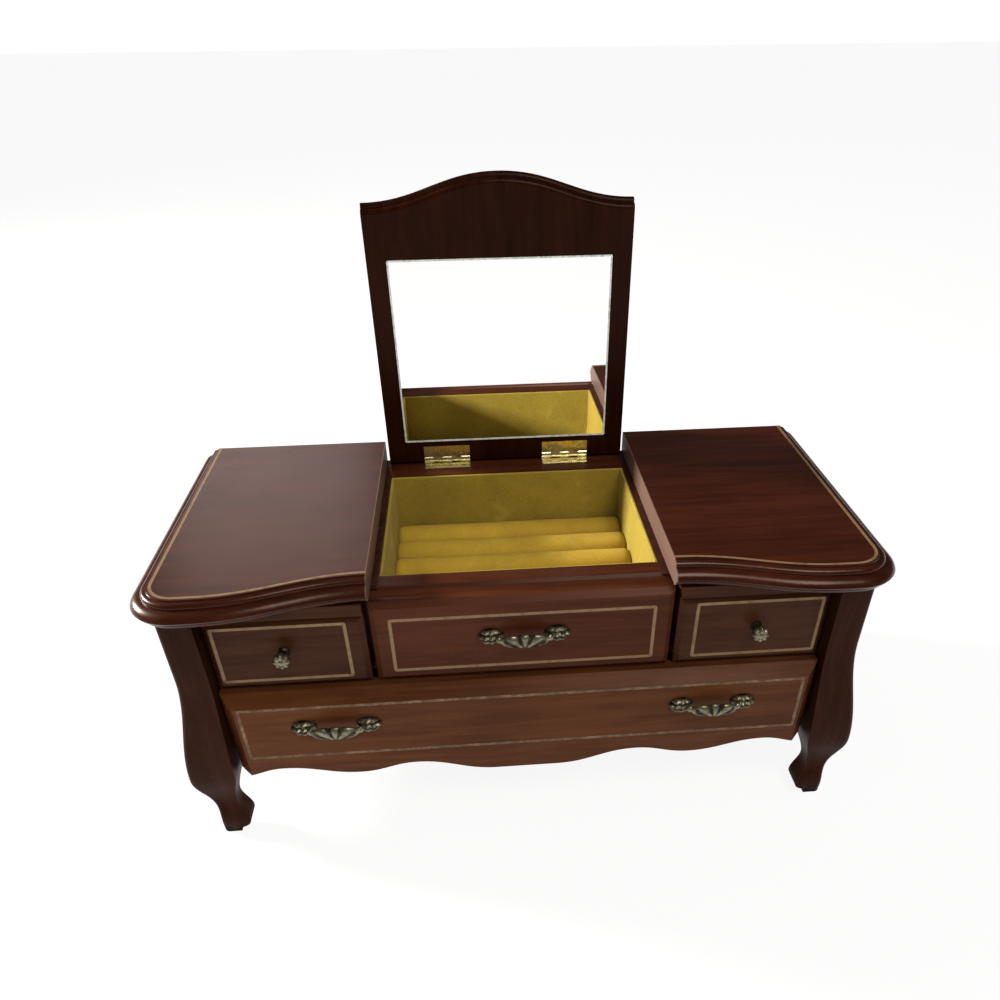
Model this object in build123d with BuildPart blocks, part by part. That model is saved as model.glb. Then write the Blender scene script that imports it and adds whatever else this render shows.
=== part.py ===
"""Vanity box with a mirror in its lid: a small dresser with upper and lower drawers and a lined well.

Millimetres, +Z up, +X to the right, -Y to the front. The origin is on the ground at the middle of the box.
Paired pieces are drawn on the right and mirrored to the left.
"""
from build123d import *
import math
import os

os.makedirs("parts", exist_ok=True)

# Heights
top_z = 139.0  # upper face of the side tops and of the closed lid
top_thickness = 11.4  # side tops
upper_floor_z = 86.0  # upper face of the dust panel
dust_panel_thickness = 4.0
lower_floor_z = 47.0  # upper face of the bottom board
bottom_board_thickness = 4.0
back_panel_foot_z = 42.0
upper_front_z = 84.0  # lower edge of the upper row of fronts
upper_drawer_front_height = 37.2
frieze_gap = 0.4  # between an upper drawer's front and the frieze above it
front_row_gap = 0.8  # between the upper row and the lower drawer's front

# Widths, measured from the middle of the box
top_reach = 166.4  # outer nose of a side top
top_inner = 67.0  # inner edge of a side top
lid_side_gap = 2.0  # between the lid and a side top
well_half_width = 63.8  # inner faces of the partitions
partition_thickness = 8.0
false_front_half_width = 67.6
front_slot = 2.6  # between the false front and an upper drawer's front
leg_inner = 140.6  # inner faces of the legs
leg_width = 15.4  # under the top
front_leg_gap = 0.8  # between a drawer's front and a leg
side_panel_inset = 8.4  # from the legs' inner faces out to the panels
side_panel_thickness = 6.0

# Depths, measured back from the faces of the upper row unless they say otherwise
case_depth = 139.9
false_front_thickness = 11.5
upper_drawer_front_thickness = 11.3
frieze_thickness = 10.0
lower_front_step = 9.0  # the lower drawer's face stands this far forward
lower_front_thickness = 13.0
front_seat_gap = 0.2  # between a closed drawer's front and the board behind it
leg_step = 6.0  # the front legs stand this far forward
leg_depth = 20.0
back_panel_thickness = 5.0
well_front_wall_thickness = 10.0
hinge_rail_depth = 15.7
hinge_rail_height = 10.0
well_back_wall_thickness = 6.0

# Lid
lid_lean = 1.0  # degrees past upright, where the lid rests on the back panel
lid_rest_gap = 0.02  # between the lid's heel and the back panel
lid_seat_gap = 0.25  # between the closed lid and the rim
lid_length = 129.0  # from the pin to the front corners
lid_crown = 12.1  # how far the middle of the front edge stands past its corners
lid_heel_chamfer = 1.5  # lets the heel swing past the rim

# Hinges
pin_above_rim = 2.15
pin_from_back = 4.5  # from the pin to the back of the case
pin_radius = 0.8
case_knuckle_clearance = 0.02  # around the pin
lid_knuckle_clearance = 0.05
hinge_x = 33.0
hinge_length = 25.4
leaf_width = 8.0
leaf_thickness = 1.0
mortise_clearance = 0.05
knuckle_radius = 2.0
knuckle_count = 5
knuckle_gap = 0.15
knuckle_clearance = 0.35  # around a knuckle in the lid and in the lid's leaf
web_thickness = 2.4  # joins the case leaf to its knuckles
web_height = 1.5
hinge_screw_spacing = 16.0
hinge_screw_inset = 2.6  # from a leaf's long edge
hinge_screw_radius = 0.8
hinge_screw_head_radius = 1.6
hinge_screw_length = 7.0
hinge_screw_slot = 0.5
hinge_screw_slot_depth = 0.4
hinge_screw_turn = 35.0  # degrees from level
screw_clearance = 0.03

# Mirror
mirror_half_width = 55.5
mirror_low = 10.6  # from the pin to the glass's lower edge
mirror_height = 93.9
mirror_thickness = 2.8
mirror_recess = 0.4
mirror_clearance = 0.2
mirror_ground_edge = 0.5

# Edge moulding of the tops and the lid, from the top: how far each turn stands past the arris, and its height
mould_reach = 8.0  # nose
quirk_drop = 0.7
quirk_reach = 0.3
upper_bead_height = 2.4
upper_bead_start = 0.9
upper_bead_reach = 3.0
nose_bead_height = 5.1
nose_bead_start = 3.6
nose_bead_end = 6.6
lower_bead_start = 5.6
lower_bead_reach = 5.5
lower_bead_end = 3.4

# Front curve of the side tops, along the nose
top_front_inner = -1.6  # beside the lid
top_front_outer = -13.9  # at the corner, where it stands forward
top_front_flat = 6.9  # from the corner's arc to the curve
top_corner_radius = 21.5
top_back_radius = 8.0
curve_fullness = 0.42  # share of an S-curve's width in each handle
crown_fullness = 0.42

# Bevels of the fronts
upper_bevel_width = 2.4
upper_bevel_depth = 1.8
lower_bevel_depth = 7.0
lower_top_bevel = 4.4
lower_side_bevel = 6.1
false_field_top_z = 124.5
false_arris_depth = 3.0
false_arris_z = 126.7
false_cove_sag = 1.4
wall_chamfer = 1.7

# Lower edge of the lower drawer's front: distance from the middle and height at each turn inside its ends
scallop_end_z = 35.5
scallop_turns = [(118.0, 39.6), (81.0, 33.8), (54.0, 38.3), (15.0, 30.9)]
panel_scallop_end_z = 36.0
panel_scallop_middle_z = 42.0

# Legs: the height of each turn and how far the leg stands there past its post's face; it eases between turns
leg_outward_turns = [(95.0, 0.0), (35.0, 7.0), (9.0, -1.8), (0.0, -1.4)]
leg_inward_turns = [(40.0, 0.0), (19.5, -4.0), (8.0, 1.2), (0.0, -5.0)]
leg_forward_turns = [(95.0, 0.0), (38.0, 6.0), (20.0, 3.2), (7.5, 7.4), (0.0, 6.4)]
leg_backward_turns = [(40.0, 0.0), (19.5, -15.0), (0.0, -18.4)]
rear_leg_thinning = 0.7  # share of the front leg's backward turn
leg_sections = 30
leg_corner_radius = 3.0

# Drawer boxes and their guides
drawer_board = 4.0  # sides and backs
drawer_bottom_thickness = 2.4
drawer_bottom_lift = 1.0
drawer_running_gap = 0.2  # under the sides
drawer_side_gap = 0.6
drawer_back_gap = 1.5
drawer_side_inset = 0.6  # of a side from the end of its front
upper_box_height = 29.0
lower_box_height = 31.0
guide_height = 9.0

# Knobs
knob_z = 104.3
knob_shift = 1.8  # outward of the front's middle
knob_foot_radius = 3.2
knob_foot_thickness = 1.2
knob_stem_radius = 2.0
knob_stem_end = 4.4
knob_radius = 4.2
knob_widest = 6.8
knob_stand = 9.0

# Pulls
false_pull_z = 107.2
lower_pull_z = 66.6
lower_pull_x = 88.5
pull_screw_x = 14.8
pull_leaf_length = 12.6
pull_leaf_height = 7.6
pull_leaf_thickness = 3.2
pull_stand = 9.4
pull_bar_radius = 1.8
pull_bar_shoulder = 9.5  # half the width of the bar's front run
pull_bar_root = 12.8
pull_bar_rise = 1.0  # from a shoulder to the middle
pull_bar_bend = 3.5
pull_boss_length = 15.0
pull_boss_height = 9.0
pull_boss_thickness = 2.8

# Screws of the knobs and pulls
handle_screw_radius = 1.2
handle_screw_bite = 2.6
handle_screw_head_radius = 2.6
handle_screw_head = 1.6

# Lining
lining_thickness = 1.5
lining_drop = 0.4  # below the rim
roll_count = 5
roll_trough = 8.4  # left open between the rolls and the front of the well
roll_height = 15.0
roll_round = 6.0
roll_gap = 0.3

# Values that follow from the ones above
rim_z = top_z - top_thickness
pin_z = rim_z + pin_above_rim
lid_underside = pin_above_rim - lid_seat_gap
lid_thickness = top_thickness - lid_seat_gap
lid_half_width = top_inner - lid_side_gap
lean = math.radians(lid_lean)
lid_heel = (pin_above_rim - lid_rest_gap) / math.cos(lean) - pin_from_back * math.tan(lean)
front_reach = lower_front_step + pull_stand
back_reach = case_depth - pin_from_back + (lid_thickness - lid_underside) * math.cos(lean)
back_reach += (lid_length + lid_crown) * math.sin(lean)
face_y = (front_reach - back_reach) / 2
back_y = face_y + case_depth
back_panel_y = back_y - back_panel_thickness
pin_y = back_y - pin_from_back
false_back_y = face_y + false_front_thickness
upper_front_back_y = face_y + upper_drawer_front_thickness
carcass_y = upper_front_back_y + front_seat_gap
lower_face_y = face_y - lower_front_step
lower_front_back_y = lower_face_y + lower_front_thickness
lower_seat_y = lower_front_back_y + front_seat_gap
well_front_y = false_back_y + well_front_wall_thickness
well_back_y = back_panel_y - hinge_rail_depth
leg_face_y = face_y - leg_step
front_post_back_y = leg_face_y + leg_depth
rear_post_y = back_y - leg_depth
roll_pitch = (well_back_y - well_front_y - 2 * lining_thickness - roll_gap - roll_trough) / roll_count
partition_outer = well_half_width + partition_thickness
drawer_front_inner = false_front_half_width + front_slot
side_panel_inner = leg_inner + side_panel_inset
drawer_front_outer = leg_inner - front_leg_gap
drawer_box_outer = drawer_front_outer - drawer_side_inset
drawer_box_inner = partition_outer + drawer_side_gap
guide_inner = drawer_box_outer + drawer_side_gap
drawer_back_y = back_panel_y - drawer_back_gap
knob_x = (drawer_front_inner + drawer_front_outer) / 2 + knob_shift
frieze_z = upper_front_z + upper_drawer_front_height + frieze_gap
lower_front_top_z = upper_front_z - front_row_gap
knuckle_length = (hinge_length - (knuckle_count - 1) * knuckle_gap) / knuckle_count
knuckle_pitch = knuckle_length + knuckle_gap

lid_plane = Plane(
    origin=(0, pin_y, pin_z),
    x_dir=(1, 0, 0),
    z_dir=(0, -math.cos(lean), math.sin(lean)),
)


def facing_front(y):
    """A plane at a depth that faces the front, with X to the right and Y up."""
    return Plane.XZ.offset(-y)


def s_curve(start, end, fullness):
    """A curve that leaves and arrives along the first axis."""
    handle = fullness * (end[0] - start[0])
    return Bezier(start, (start[0] + handle, start[1]), (end[0] - handle, end[1]), end)


def eased(turns, height):
    """The value at a height, easing from one turn to the next."""
    if height >= turns[0][0]:
        return turns[0][1]
    for (upper_z, upper_value), (lower_z, lower_value) in zip(turns, turns[1:]):
        if height >= lower_z:
            share = (upper_z - height) / (upper_z - lower_z)
            return upper_value + (lower_value - upper_value) * (1 - math.cos(math.pi * share)) / 2
    return turns[-1][1]


def knuckle_start(index):
    return hinge_x - hinge_length / 2 + index * knuckle_pitch


def moulding_waste(start, outward, along, thickness):
    """What the edge moulding takes away, drawn across the edge from the arris to the nose."""
    arris = -mould_reach
    upper_top = thickness - quirk_drop
    nose_top = upper_top - upper_bead_height
    nose_foot = nose_top - nose_bead_height
    with BuildSketch(Plane(origin=start, x_dir=outward, z_dir=along)) as waste:
        with BuildLine():
            Polyline(
                (arris, thickness + 1),
                (arris, thickness),
                (arris + quirk_reach, upper_top),
                (arris + upper_bead_start, upper_top),
            )
            ThreePointArc(
                (arris + upper_bead_start, upper_top),
                (arris + upper_bead_reach * 0.85, upper_top - upper_bead_height / 3),
                (arris + upper_bead_reach, nose_top),
            )
            Line((arris + upper_bead_reach, nose_top), (arris + nose_bead_start, nose_top))
            nose_turn = (0, nose_foot + nose_bead_height / 3)
            RadiusArc((arris + nose_bead_start, nose_top), nose_turn, nose_bead_height)
            RadiusArc(nose_turn, (arris + nose_bead_end, nose_foot), nose_bead_height / 2)
            Line((arris + nose_bead_end, nose_foot), (arris + lower_bead_start, nose_foot))
            ThreePointArc(
                (arris + lower_bead_start, nose_foot),
                (arris + lower_bead_reach, nose_foot / 2),
                (arris + lower_bead_end, 0),
            )
            Polyline((arris + lower_bead_end, 0), (arris + lower_bead_end, -1), (1, -1), (1, thickness + 1))
            Line((1, thickness + 1), (arris, thickness + 1))
        make_face()
    return waste.sketch


def right_top_front():
    """The right top's front edge, from its corner's arc to the lid."""
    corner_x = top_reach - top_corner_radius
    corner_y = face_y + top_front_outer
    curve_end = (corner_x - top_front_flat, corner_y)
    CenterArc((corner_x, corner_y + top_corner_radius), top_corner_radius, 0, -90)
    Line((corner_x, corner_y), curve_end)
    s_curve(curve_end, (top_inner, face_y + top_front_inner), curve_fullness)


with BuildPart() as right_top:
    side_start = (top_reach, face_y + top_front_outer + top_corner_radius)
    with BuildSketch(Plane.XY.offset(rim_z)):
        with BuildLine():
            right_top_front()
            front_start = (top_inner, face_y + top_front_inner)
            back_end = (top_reach - top_back_radius, back_y)
            side_end = (top_reach, back_y - top_back_radius)
            Polyline(front_start, (top_inner, back_y), back_end)
            RadiusArc(back_end, side_end, top_back_radius)
            Line(side_end, side_start)
        make_face()
    extrude(amount=top_thickness)
    with BuildLine(Plane.XY.offset(rim_z)) as right_top_edge:
        Line((top_reach, back_y + 1), side_start)
        right_top_front()
        Line((top_inner, face_y + top_front_inner), (top_inner - 1, face_y + top_front_inner))
    sweep(
        sections=moulding_waste((top_reach, back_y + 1, rim_z), (1, 0, 0), (0, -1, 0), top_thickness),
        path=right_top_edge.wires()[0],
        mode=Mode.SUBTRACT,
    )
right_top.part.label = "right_top"
export_step(right_top.part, "parts/right_top.step")

# Legs: sections at even heights with the outer corner rounded. The rear legs' backs are flat.
for place, outward, post_face_y in (("front", -1, leg_face_y), ("rear", 1, back_y)):
    with BuildPart() as right_leg:
        for step in range(leg_sections + 1):
            section_z = rim_z * step / leg_sections
            section_outer = leg_inner + leg_width + eased(leg_outward_turns, section_z)
            section_inner = leg_inner - eased(leg_inward_turns, section_z)
            section_face = post_face_y
            section_back = post_face_y - outward * leg_depth
            if place == "front":
                section_face += outward * eased(leg_forward_turns, section_z)
                section_back -= outward * eased(leg_backward_turns, section_z)
            else:
                section_back -= outward * eased(leg_backward_turns, section_z) * rear_leg_thinning
            corner_y = section_face - outward * leg_corner_radius
            with BuildSketch(Plane.XY.offset(section_z)):
                with BuildLine():
                    Polyline(
                        (section_outer - leg_corner_radius, section_face),
                        (section_inner, section_face),
                        (section_inner, section_back),
                        (section_outer, section_back),
                        (section_outer, corner_y),
                    )
                    TangentArc(
                        (section_outer, corner_y),
                        (section_outer - leg_corner_radius, section_face),
                        tangent=(0, outward),
                    )
                make_face()
        loft()
    right_leg.part.label = f"right_{place}_leg"
    export_step(right_leg.part, f"parts/right_{place}_leg.step")
    with BuildPart() as left_leg:
        mirror(right_leg.part, about=Plane.YZ)
    left_leg.part.label = f"left_{place}_leg"
    export_step(left_leg.part, f"parts/left_{place}_leg.step")

# Case boards
with BuildPart() as right_side_panel:
    with BuildSketch(Plane.YZ.offset(side_panel_inner)):
        with BuildLine():
            scallop_middle = ((front_post_back_y + rear_post_y) / 2, panel_scallop_middle_z)
            s_curve((front_post_back_y, panel_scallop_end_z), scallop_middle, curve_fullness)
            s_curve(scallop_middle, (rear_post_y, panel_scallop_end_z), curve_fullness)
            Polyline(
                (rear_post_y, panel_scallop_end_z),
                (rear_post_y, rim_z),
                (front_post_back_y, rim_z),
                (front_post_back_y, panel_scallop_end_z),
            )
        make_face()
    extrude(amount=side_panel_thickness)
right_side_panel.part.label = "right_side_panel"
export_step(right_side_panel.part, "parts/right_side_panel.step")

with BuildPart() as back_panel:
    with BuildSketch(facing_front(back_y)):
        with Locations((0, back_panel_foot_z)):
            Rectangle(2 * leg_inner, rim_z - back_panel_foot_z, align=(Align.CENTER, Align.MIN))
    extrude(amount=back_panel_thickness)
back_panel.part.label = "back_panel"
export_step(back_panel.part, "parts/back_panel.step")

for board_name, board_top_z, board_thickness, board_front_y in (
    ("dust_panel", upper_floor_z, dust_panel_thickness, carcass_y),
    ("bottom_board", lower_floor_z, bottom_board_thickness, lower_seat_y),
):
    with BuildPart() as board:
        with BuildSketch(Plane.XY.offset(board_top_z)):
            with Locations((0, board_front_y)):
                Rectangle(2 * leg_inner, back_panel_y - board_front_y, align=(Align.CENTER, Align.MIN))
            with Locations((0, (front_post_back_y + rear_post_y) / 2)):
                Rectangle(2 * side_panel_inner, rear_post_y - front_post_back_y)
        extrude(amount=-board_thickness)
    board.part.label = board_name
    export_step(board.part, f"parts/{board_name}.step")

with BuildPart() as right_partition:
    with BuildSketch(Plane.XY.offset(upper_floor_z)):
        with Locations((well_half_width, carcass_y)):
            Rectangle(partition_thickness, back_panel_y - carcass_y, align=Align.MIN)
    extrude(amount=rim_z - upper_floor_z)
right_partition.part.label = "right_partition"
export_step(right_partition.part, "parts/right_partition.step")

with BuildPart() as well_front_wall:
    with BuildSketch(Plane.XY.offset(upper_floor_z)):
        with Locations((0, false_back_y)):
            Rectangle(2 * well_half_width, well_front_wall_thickness, align=(Align.CENTER, Align.MIN))
    extrude(amount=rim_z - upper_floor_z)
    chamfer(well_front_wall.faces().sort_by(Axis.Z)[-1].edges().sort_by(Axis.Y)[0], wall_chamfer)
well_front_wall.part.label = "well_front_wall"
export_step(well_front_wall.part, "parts/well_front_wall.step")

with BuildPart() as well_back_wall:
    with BuildSketch(Plane.XY.offset(upper_floor_z)):
        with Locations((0, well_back_y)):
            Rectangle(2 * well_half_width, well_back_wall_thickness, align=(Align.CENTER, Align.MIN))
    extrude(amount=rim_z - hinge_rail_height - upper_floor_z)
well_back_wall.part.label = "well_back_wall"
export_step(well_back_wall.part, "parts/well_back_wall.step")

with BuildPart() as right_frieze:
    with BuildSketch(facing_front(face_y)):
        with Locations((drawer_front_inner, frieze_z)):
            Rectangle(leg_inner - drawer_front_inner, rim_z - frieze_z, align=Align.MIN)
    extrude(amount=-frieze_thickness)
right_frieze.part.label = "right_frieze"
export_step(right_frieze.part, "parts/right_frieze.step")

for guide_name, guide_z in (("upper_guide", upper_floor_z), ("lower_guide", lower_floor_z)):
    with BuildPart() as right_guide:
        with BuildSketch(Plane.XY.offset(guide_z)):
            with Locations((guide_inner, front_post_back_y)):
                Rectangle(side_panel_inner - guide_inner, rear_post_y - front_post_back_y, align=Align.MIN)
        extrude(amount=guide_height)
    with BuildPart() as left_guide:
        mirror(right_guide.part, about=Plane.YZ)
    for guide, side in ((left_guide, "left"), (right_guide, "right")):
        guide.part.label = f"{side}_{guide_name}"
        export_step(guide.part, f"parts/{side}_{guide_name}.step")

# Hinge rail, with the mortises of the case leaves and their screw holes
hinge_places = [(-hinge_x, pin_y), (hinge_x, pin_y)]
screw_offsets = [-hinge_screw_spacing / 2, hinge_screw_spacing / 2]
leaf_screw_y = leaf_width - hinge_screw_inset
hinge_screw_x = [side * hinge_x + offset for side in (-1, 1) for offset in screw_offsets]
case_screw_places = [(x, pin_y - leaf_screw_y) for x in hinge_screw_x]
lid_screw_places = [(x, leaf_screw_y) for x in hinge_screw_x]
with BuildPart() as hinge_rail:
    with BuildSketch(Plane.XY.offset(rim_z)):
        with Locations((0, well_back_y)):
            Rectangle(2 * well_half_width, hinge_rail_depth, align=(Align.CENTER, Align.MIN))
    extrude(amount=-hinge_rail_height)
    with BuildSketch(Plane.XY.offset(rim_z)):
        with Locations(*hinge_places):
            Rectangle(
                hinge_length + 2 * mortise_clearance,
                2 * leaf_width + 2 * mortise_clearance,
            )
    extrude(amount=-leaf_thickness, mode=Mode.SUBTRACT)
    with BuildSketch(Plane.XY.offset(rim_z)):
        with Locations(*case_screw_places):
            Circle(hinge_screw_radius + screw_clearance)
    extrude(amount=-hinge_screw_length - screw_clearance, mode=Mode.SUBTRACT)
hinge_rail.part.label = "hinge_rail"
export_step(hinge_rail.part, "parts/hinge_rail.step")

# False front: a thick board with a bevelled field and a shallow cove along its top
pull_screw_places = [(-pull_screw_x, false_pull_z), (pull_screw_x, false_pull_z)]
with BuildPart() as false_front:
    with BuildSketch(Plane.YZ.offset(-false_front_half_width)):
        with BuildLine():
            Polyline(
                (false_back_y, false_arris_z),
                (false_back_y, upper_front_z),
                (face_y, upper_front_z),
                (face_y, false_field_top_z),
                (face_y + false_arris_depth, false_arris_z),
            )
            cove_middle_y = face_y + (false_arris_depth + false_front_thickness) / 2
            ThreePointArc(
                (face_y + false_arris_depth, false_arris_z),
                (cove_middle_y, false_arris_z - false_cove_sag),
                (false_back_y, false_arris_z),
            )
        make_face()
    extrude(amount=2 * false_front_half_width)
    field = false_front.faces().sort_by(Axis.Y)[0]
    ends = field.edges().filter_by(Axis.Z) + field.edges().sort_by(Axis.Z)[0:1]
    chamfer(ends, upper_bevel_width, upper_bevel_depth, reference=field)
    with BuildSketch(facing_front(face_y)):
        with Locations(*pull_screw_places):
            Circle(handle_screw_radius + screw_clearance)
    extrude(amount=-false_front_thickness, mode=Mode.SUBTRACT)
    with BuildSketch(facing_front(false_back_y)):
        with Locations(*pull_screw_places):
            Circle(handle_screw_head_radius + screw_clearance)
    extrude(amount=handle_screw_head + screw_clearance, mode=Mode.SUBTRACT)
false_front.part.label = "false_front"
export_step(false_front.part, "parts/false_front.step")

# Lining and ring rolls
with BuildPart() as well_lining:
    lining_inner = well_half_width - lining_thickness
    with BuildSketch(Plane.XY.offset(upper_floor_z)):
        for wall_y in (well_front_y, well_back_y - lining_thickness):
            with Locations((0, wall_y)):
                Rectangle(2 * well_half_width, lining_thickness, align=(Align.CENTER, Align.MIN))
    extrude(amount=rim_z - lining_drop - upper_floor_z)
    with BuildSketch(Plane.XY.offset(upper_floor_z)):
        side_depth = well_back_y - well_front_y - 2 * lining_thickness - 2 * roll_gap
        with Locations(
            (-well_half_width + lining_thickness / 2, (well_front_y + well_back_y) / 2),
            (well_half_width - lining_thickness / 2, (well_front_y + well_back_y) / 2),
        ):
            Rectangle(lining_thickness, side_depth)
    extrude(amount=rim_z - lining_drop - upper_floor_z)
well_lining.part.label = "well_lining"
export_step(well_lining.part, "parts/well_lining.step")

with BuildPart() as ring_rolls:
    last_roll_y = well_back_y - lining_thickness - roll_gap - roll_pitch / 2
    roll_places = [(last_roll_y - index * roll_pitch, upper_floor_z) for index in range(roll_count)]
    with BuildSketch(Plane.YZ.offset(-lining_inner + roll_gap)) as roll_sections:
        with Locations(*roll_places):
            Rectangle(roll_pitch - roll_gap, roll_height, align=(Align.CENTER, Align.MIN))
        fillet(roll_sections.vertices().group_by(Axis.Y)[-1], roll_round)
    extrude(amount=2 * (lining_inner - roll_gap))
ring_rolls.part.label = "ring_rolls"
export_step(ring_rolls.part, "parts/ring_rolls.step")

for piece_name, right_piece in (
    ("top", right_top),
    ("side_panel", right_side_panel),
    ("partition", right_partition),
    ("frieze", right_frieze),
):
    with BuildPart() as left_piece:
        mirror(right_piece.part, about=Plane.YZ)
    left_piece.part.label = f"left_{piece_name}"
    export_step(left_piece.part, f"parts/left_{piece_name}.step")

# Lid, drawn in its own plane: X to the right, Y up along the lid, Z towards its mirror side
with BuildPart() as lid_board:
    crown_top = (0, lid_length + lid_crown)
    with BuildSketch(lid_plane.offset(lid_underside)):
        with BuildLine():
            s_curve((lid_half_width, lid_length), crown_top, crown_fullness)
            s_curve(crown_top, (-lid_half_width, lid_length), crown_fullness)
            Polyline(
                (-lid_half_width, lid_length),
                (-lid_half_width, -lid_heel),
                (lid_half_width, -lid_heel),
                (lid_half_width, lid_length),
            )
        make_face()
    extrude(amount=-lid_thickness)
    with BuildLine(lid_plane.offset(lid_underside)) as lid_edge:
        Line((lid_half_width + 1, lid_length), (lid_half_width, lid_length))
        s_curve((lid_half_width, lid_length), crown_top, crown_fullness)
        s_curve(crown_top, (-lid_half_width, lid_length), crown_fullness)
        Line((-lid_half_width, lid_length), (-lid_half_width - 1, lid_length))
    sweep(
        sections=moulding_waste(lid_edge.wires()[0] @ 0, lid_plane.y_dir, -lid_plane.x_dir, lid_thickness),
        path=lid_edge.wires()[0],
        mode=Mode.SUBTRACT,
    )
    with BuildSketch(Plane.YZ.offset(-lid_half_width)) as heel_waste:
        with BuildLine():
            heel_corner = lid_plane.from_local_coords((0, -lid_heel, lid_underside))
            heel_up = lid_plane.from_local_coords((0, lid_heel_chamfer - lid_heel, lid_underside))
            heel_in = lid_plane.from_local_coords((0, -lid_heel, lid_underside - lid_heel_chamfer))
            Polyline(
                (heel_corner.Y, heel_corner.Z),
                (heel_up.Y, heel_up.Z),
                (heel_in.Y, heel_in.Z),
                (heel_corner.Y, heel_corner.Z),
            )
        make_face()
    extrude(amount=2 * lid_half_width, mode=Mode.SUBTRACT)
    with BuildSketch(lid_plane.offset(lid_underside)):
        with Locations((0, mirror_low + mirror_height / 2)):
            Rectangle(2 * (mirror_half_width + mirror_clearance), mirror_height + 2 * mirror_clearance)
    extrude(amount=-mirror_recess - mirror_thickness, mode=Mode.SUBTRACT)
    with BuildSketch(lid_plane.offset(lid_underside)):
        with Locations((-hinge_x, 0), (hinge_x, 0)):
            Rectangle(hinge_length + 2 * mortise_clearance, 2 * (leaf_width + mortise_clearance))
    extrude(amount=-leaf_thickness, mode=Mode.SUBTRACT)
    with BuildSketch(lid_plane.offset(lid_underside)):
        with Locations((-hinge_x, 0), (hinge_x, 0)):
            Rectangle(hinge_length + 2 * knuckle_clearance, 2 * (knuckle_radius + knuckle_clearance))
    extrude(amount=-lid_underside - knuckle_radius - knuckle_clearance, mode=Mode.SUBTRACT)
    with BuildSketch(lid_plane.offset(lid_underside)):
        with Locations(*lid_screw_places):
            Circle(hinge_screw_radius + screw_clearance)
    extrude(amount=-hinge_screw_length - screw_clearance, mode=Mode.SUBTRACT)
lid_board.part.label = "lid_board"
export_step(lid_board.part, "parts/lid_board.step")

with BuildPart() as mirror_glass:
    with BuildSketch(lid_plane.offset(lid_underside - mirror_recess - mirror_thickness)):
        with Locations((0, mirror_low + mirror_height / 2)):
            Rectangle(2 * mirror_half_width, mirror_height)
    extrude(amount=mirror_thickness)
    seen_face = mirror_glass.faces().sort_by(Axis(lid_plane.origin, lid_plane.z_dir))[-1]
    chamfer(seen_face.edges(), mirror_ground_edge)
mirror_glass.part.label = "mirror_glass"
export_step(mirror_glass.part, "parts/mirror_glass.step")

# Hinges
with BuildPart() as right_case_leaf:
    with BuildSketch(Plane.XY.offset(rim_z)):
        with Locations((hinge_x - hinge_length / 2, pin_y - leaf_width)):
            Rectangle(hinge_length, leaf_width + back_panel_y - pin_y, align=Align.MIN)
    extrude(amount=-leaf_thickness)
    for index in range(0, knuckle_count, 2):
        with BuildSketch(Plane.YZ.offset(knuckle_start(index))):
            with Locations((pin_y, pin_z)):
                Circle(knuckle_radius)
            with Locations((pin_y, rim_z)):
                Rectangle(web_thickness, web_height, align=(Align.CENTER, Align.MIN))
        extrude(amount=knuckle_length)
    with BuildSketch(Plane.YZ.offset(hinge_x - hinge_length / 2)):
        with Locations((pin_y, pin_z)):
            Circle(pin_radius + case_knuckle_clearance)
    extrude(amount=hinge_length, mode=Mode.SUBTRACT)
    with Locations(Plane.XY.offset(rim_z)):
        with Locations(*case_screw_places[2:]):
            CounterSinkHole(
                hinge_screw_radius + screw_clearance,
                hinge_screw_head_radius + screw_clearance,
                leaf_thickness,
                90,
            )
right_case_leaf.part.label = "right_hinge_case_leaf"
export_step(right_case_leaf.part, "parts/right_hinge_case_leaf.step")

with BuildPart() as right_lid_leaf:
    leaf_start = knuckle_radius + knuckle_clearance
    with BuildSketch(lid_plane.offset(lid_underside)):
        with Locations((hinge_x - hinge_length / 2, leaf_start)):
            Rectangle(hinge_length, leaf_width - leaf_start, align=Align.MIN)
        for index in range(1, knuckle_count, 2):
            with Locations((knuckle_start(index), 0)):
                Rectangle(knuckle_length, leaf_width, align=Align.MIN)
    extrude(amount=-leaf_thickness)
    for index in range(1, knuckle_count, 2):
        with BuildSketch(Plane.YZ.offset(knuckle_start(index))):
            with Locations((pin_y, pin_z)):
                Circle(knuckle_radius)
        extrude(amount=knuckle_length)
    with BuildSketch(Plane.YZ.offset(hinge_x - hinge_length / 2)):
        with Locations((pin_y, pin_z)):
            Circle(pin_radius + lid_knuckle_clearance)
    extrude(amount=hinge_length, mode=Mode.SUBTRACT)
    with Locations(lid_plane.offset(lid_underside)):
        with Locations(*lid_screw_places[2:]):
            CounterSinkHole(
                hinge_screw_radius + screw_clearance,
                hinge_screw_head_radius + screw_clearance,
                leaf_thickness,
                90,
            )
right_lid_leaf.part.label = "right_hinge_lid_leaf"
export_step(right_lid_leaf.part, "parts/right_hinge_lid_leaf.step")

with BuildPart() as right_pin:
    with BuildSketch(Plane.YZ.offset(hinge_x - hinge_length / 2)):
        with Locations((pin_y, pin_z)):
            Circle(pin_radius)
    extrude(amount=hinge_length)
right_pin.part.label = "right_hinge_pin"
export_step(right_pin.part, "parts/right_hinge_pin.step")

for piece_name, right_piece in (
    ("hinge_case_leaf", right_case_leaf),
    ("hinge_lid_leaf", right_lid_leaf),
    ("hinge_pin", right_pin),
):
    with BuildPart() as left_piece:
        mirror(right_piece.part, about=Plane.YZ)
    left_piece.part.label = f"left_{piece_name}"
    export_step(left_piece.part, f"parts/left_{piece_name}.step")

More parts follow.
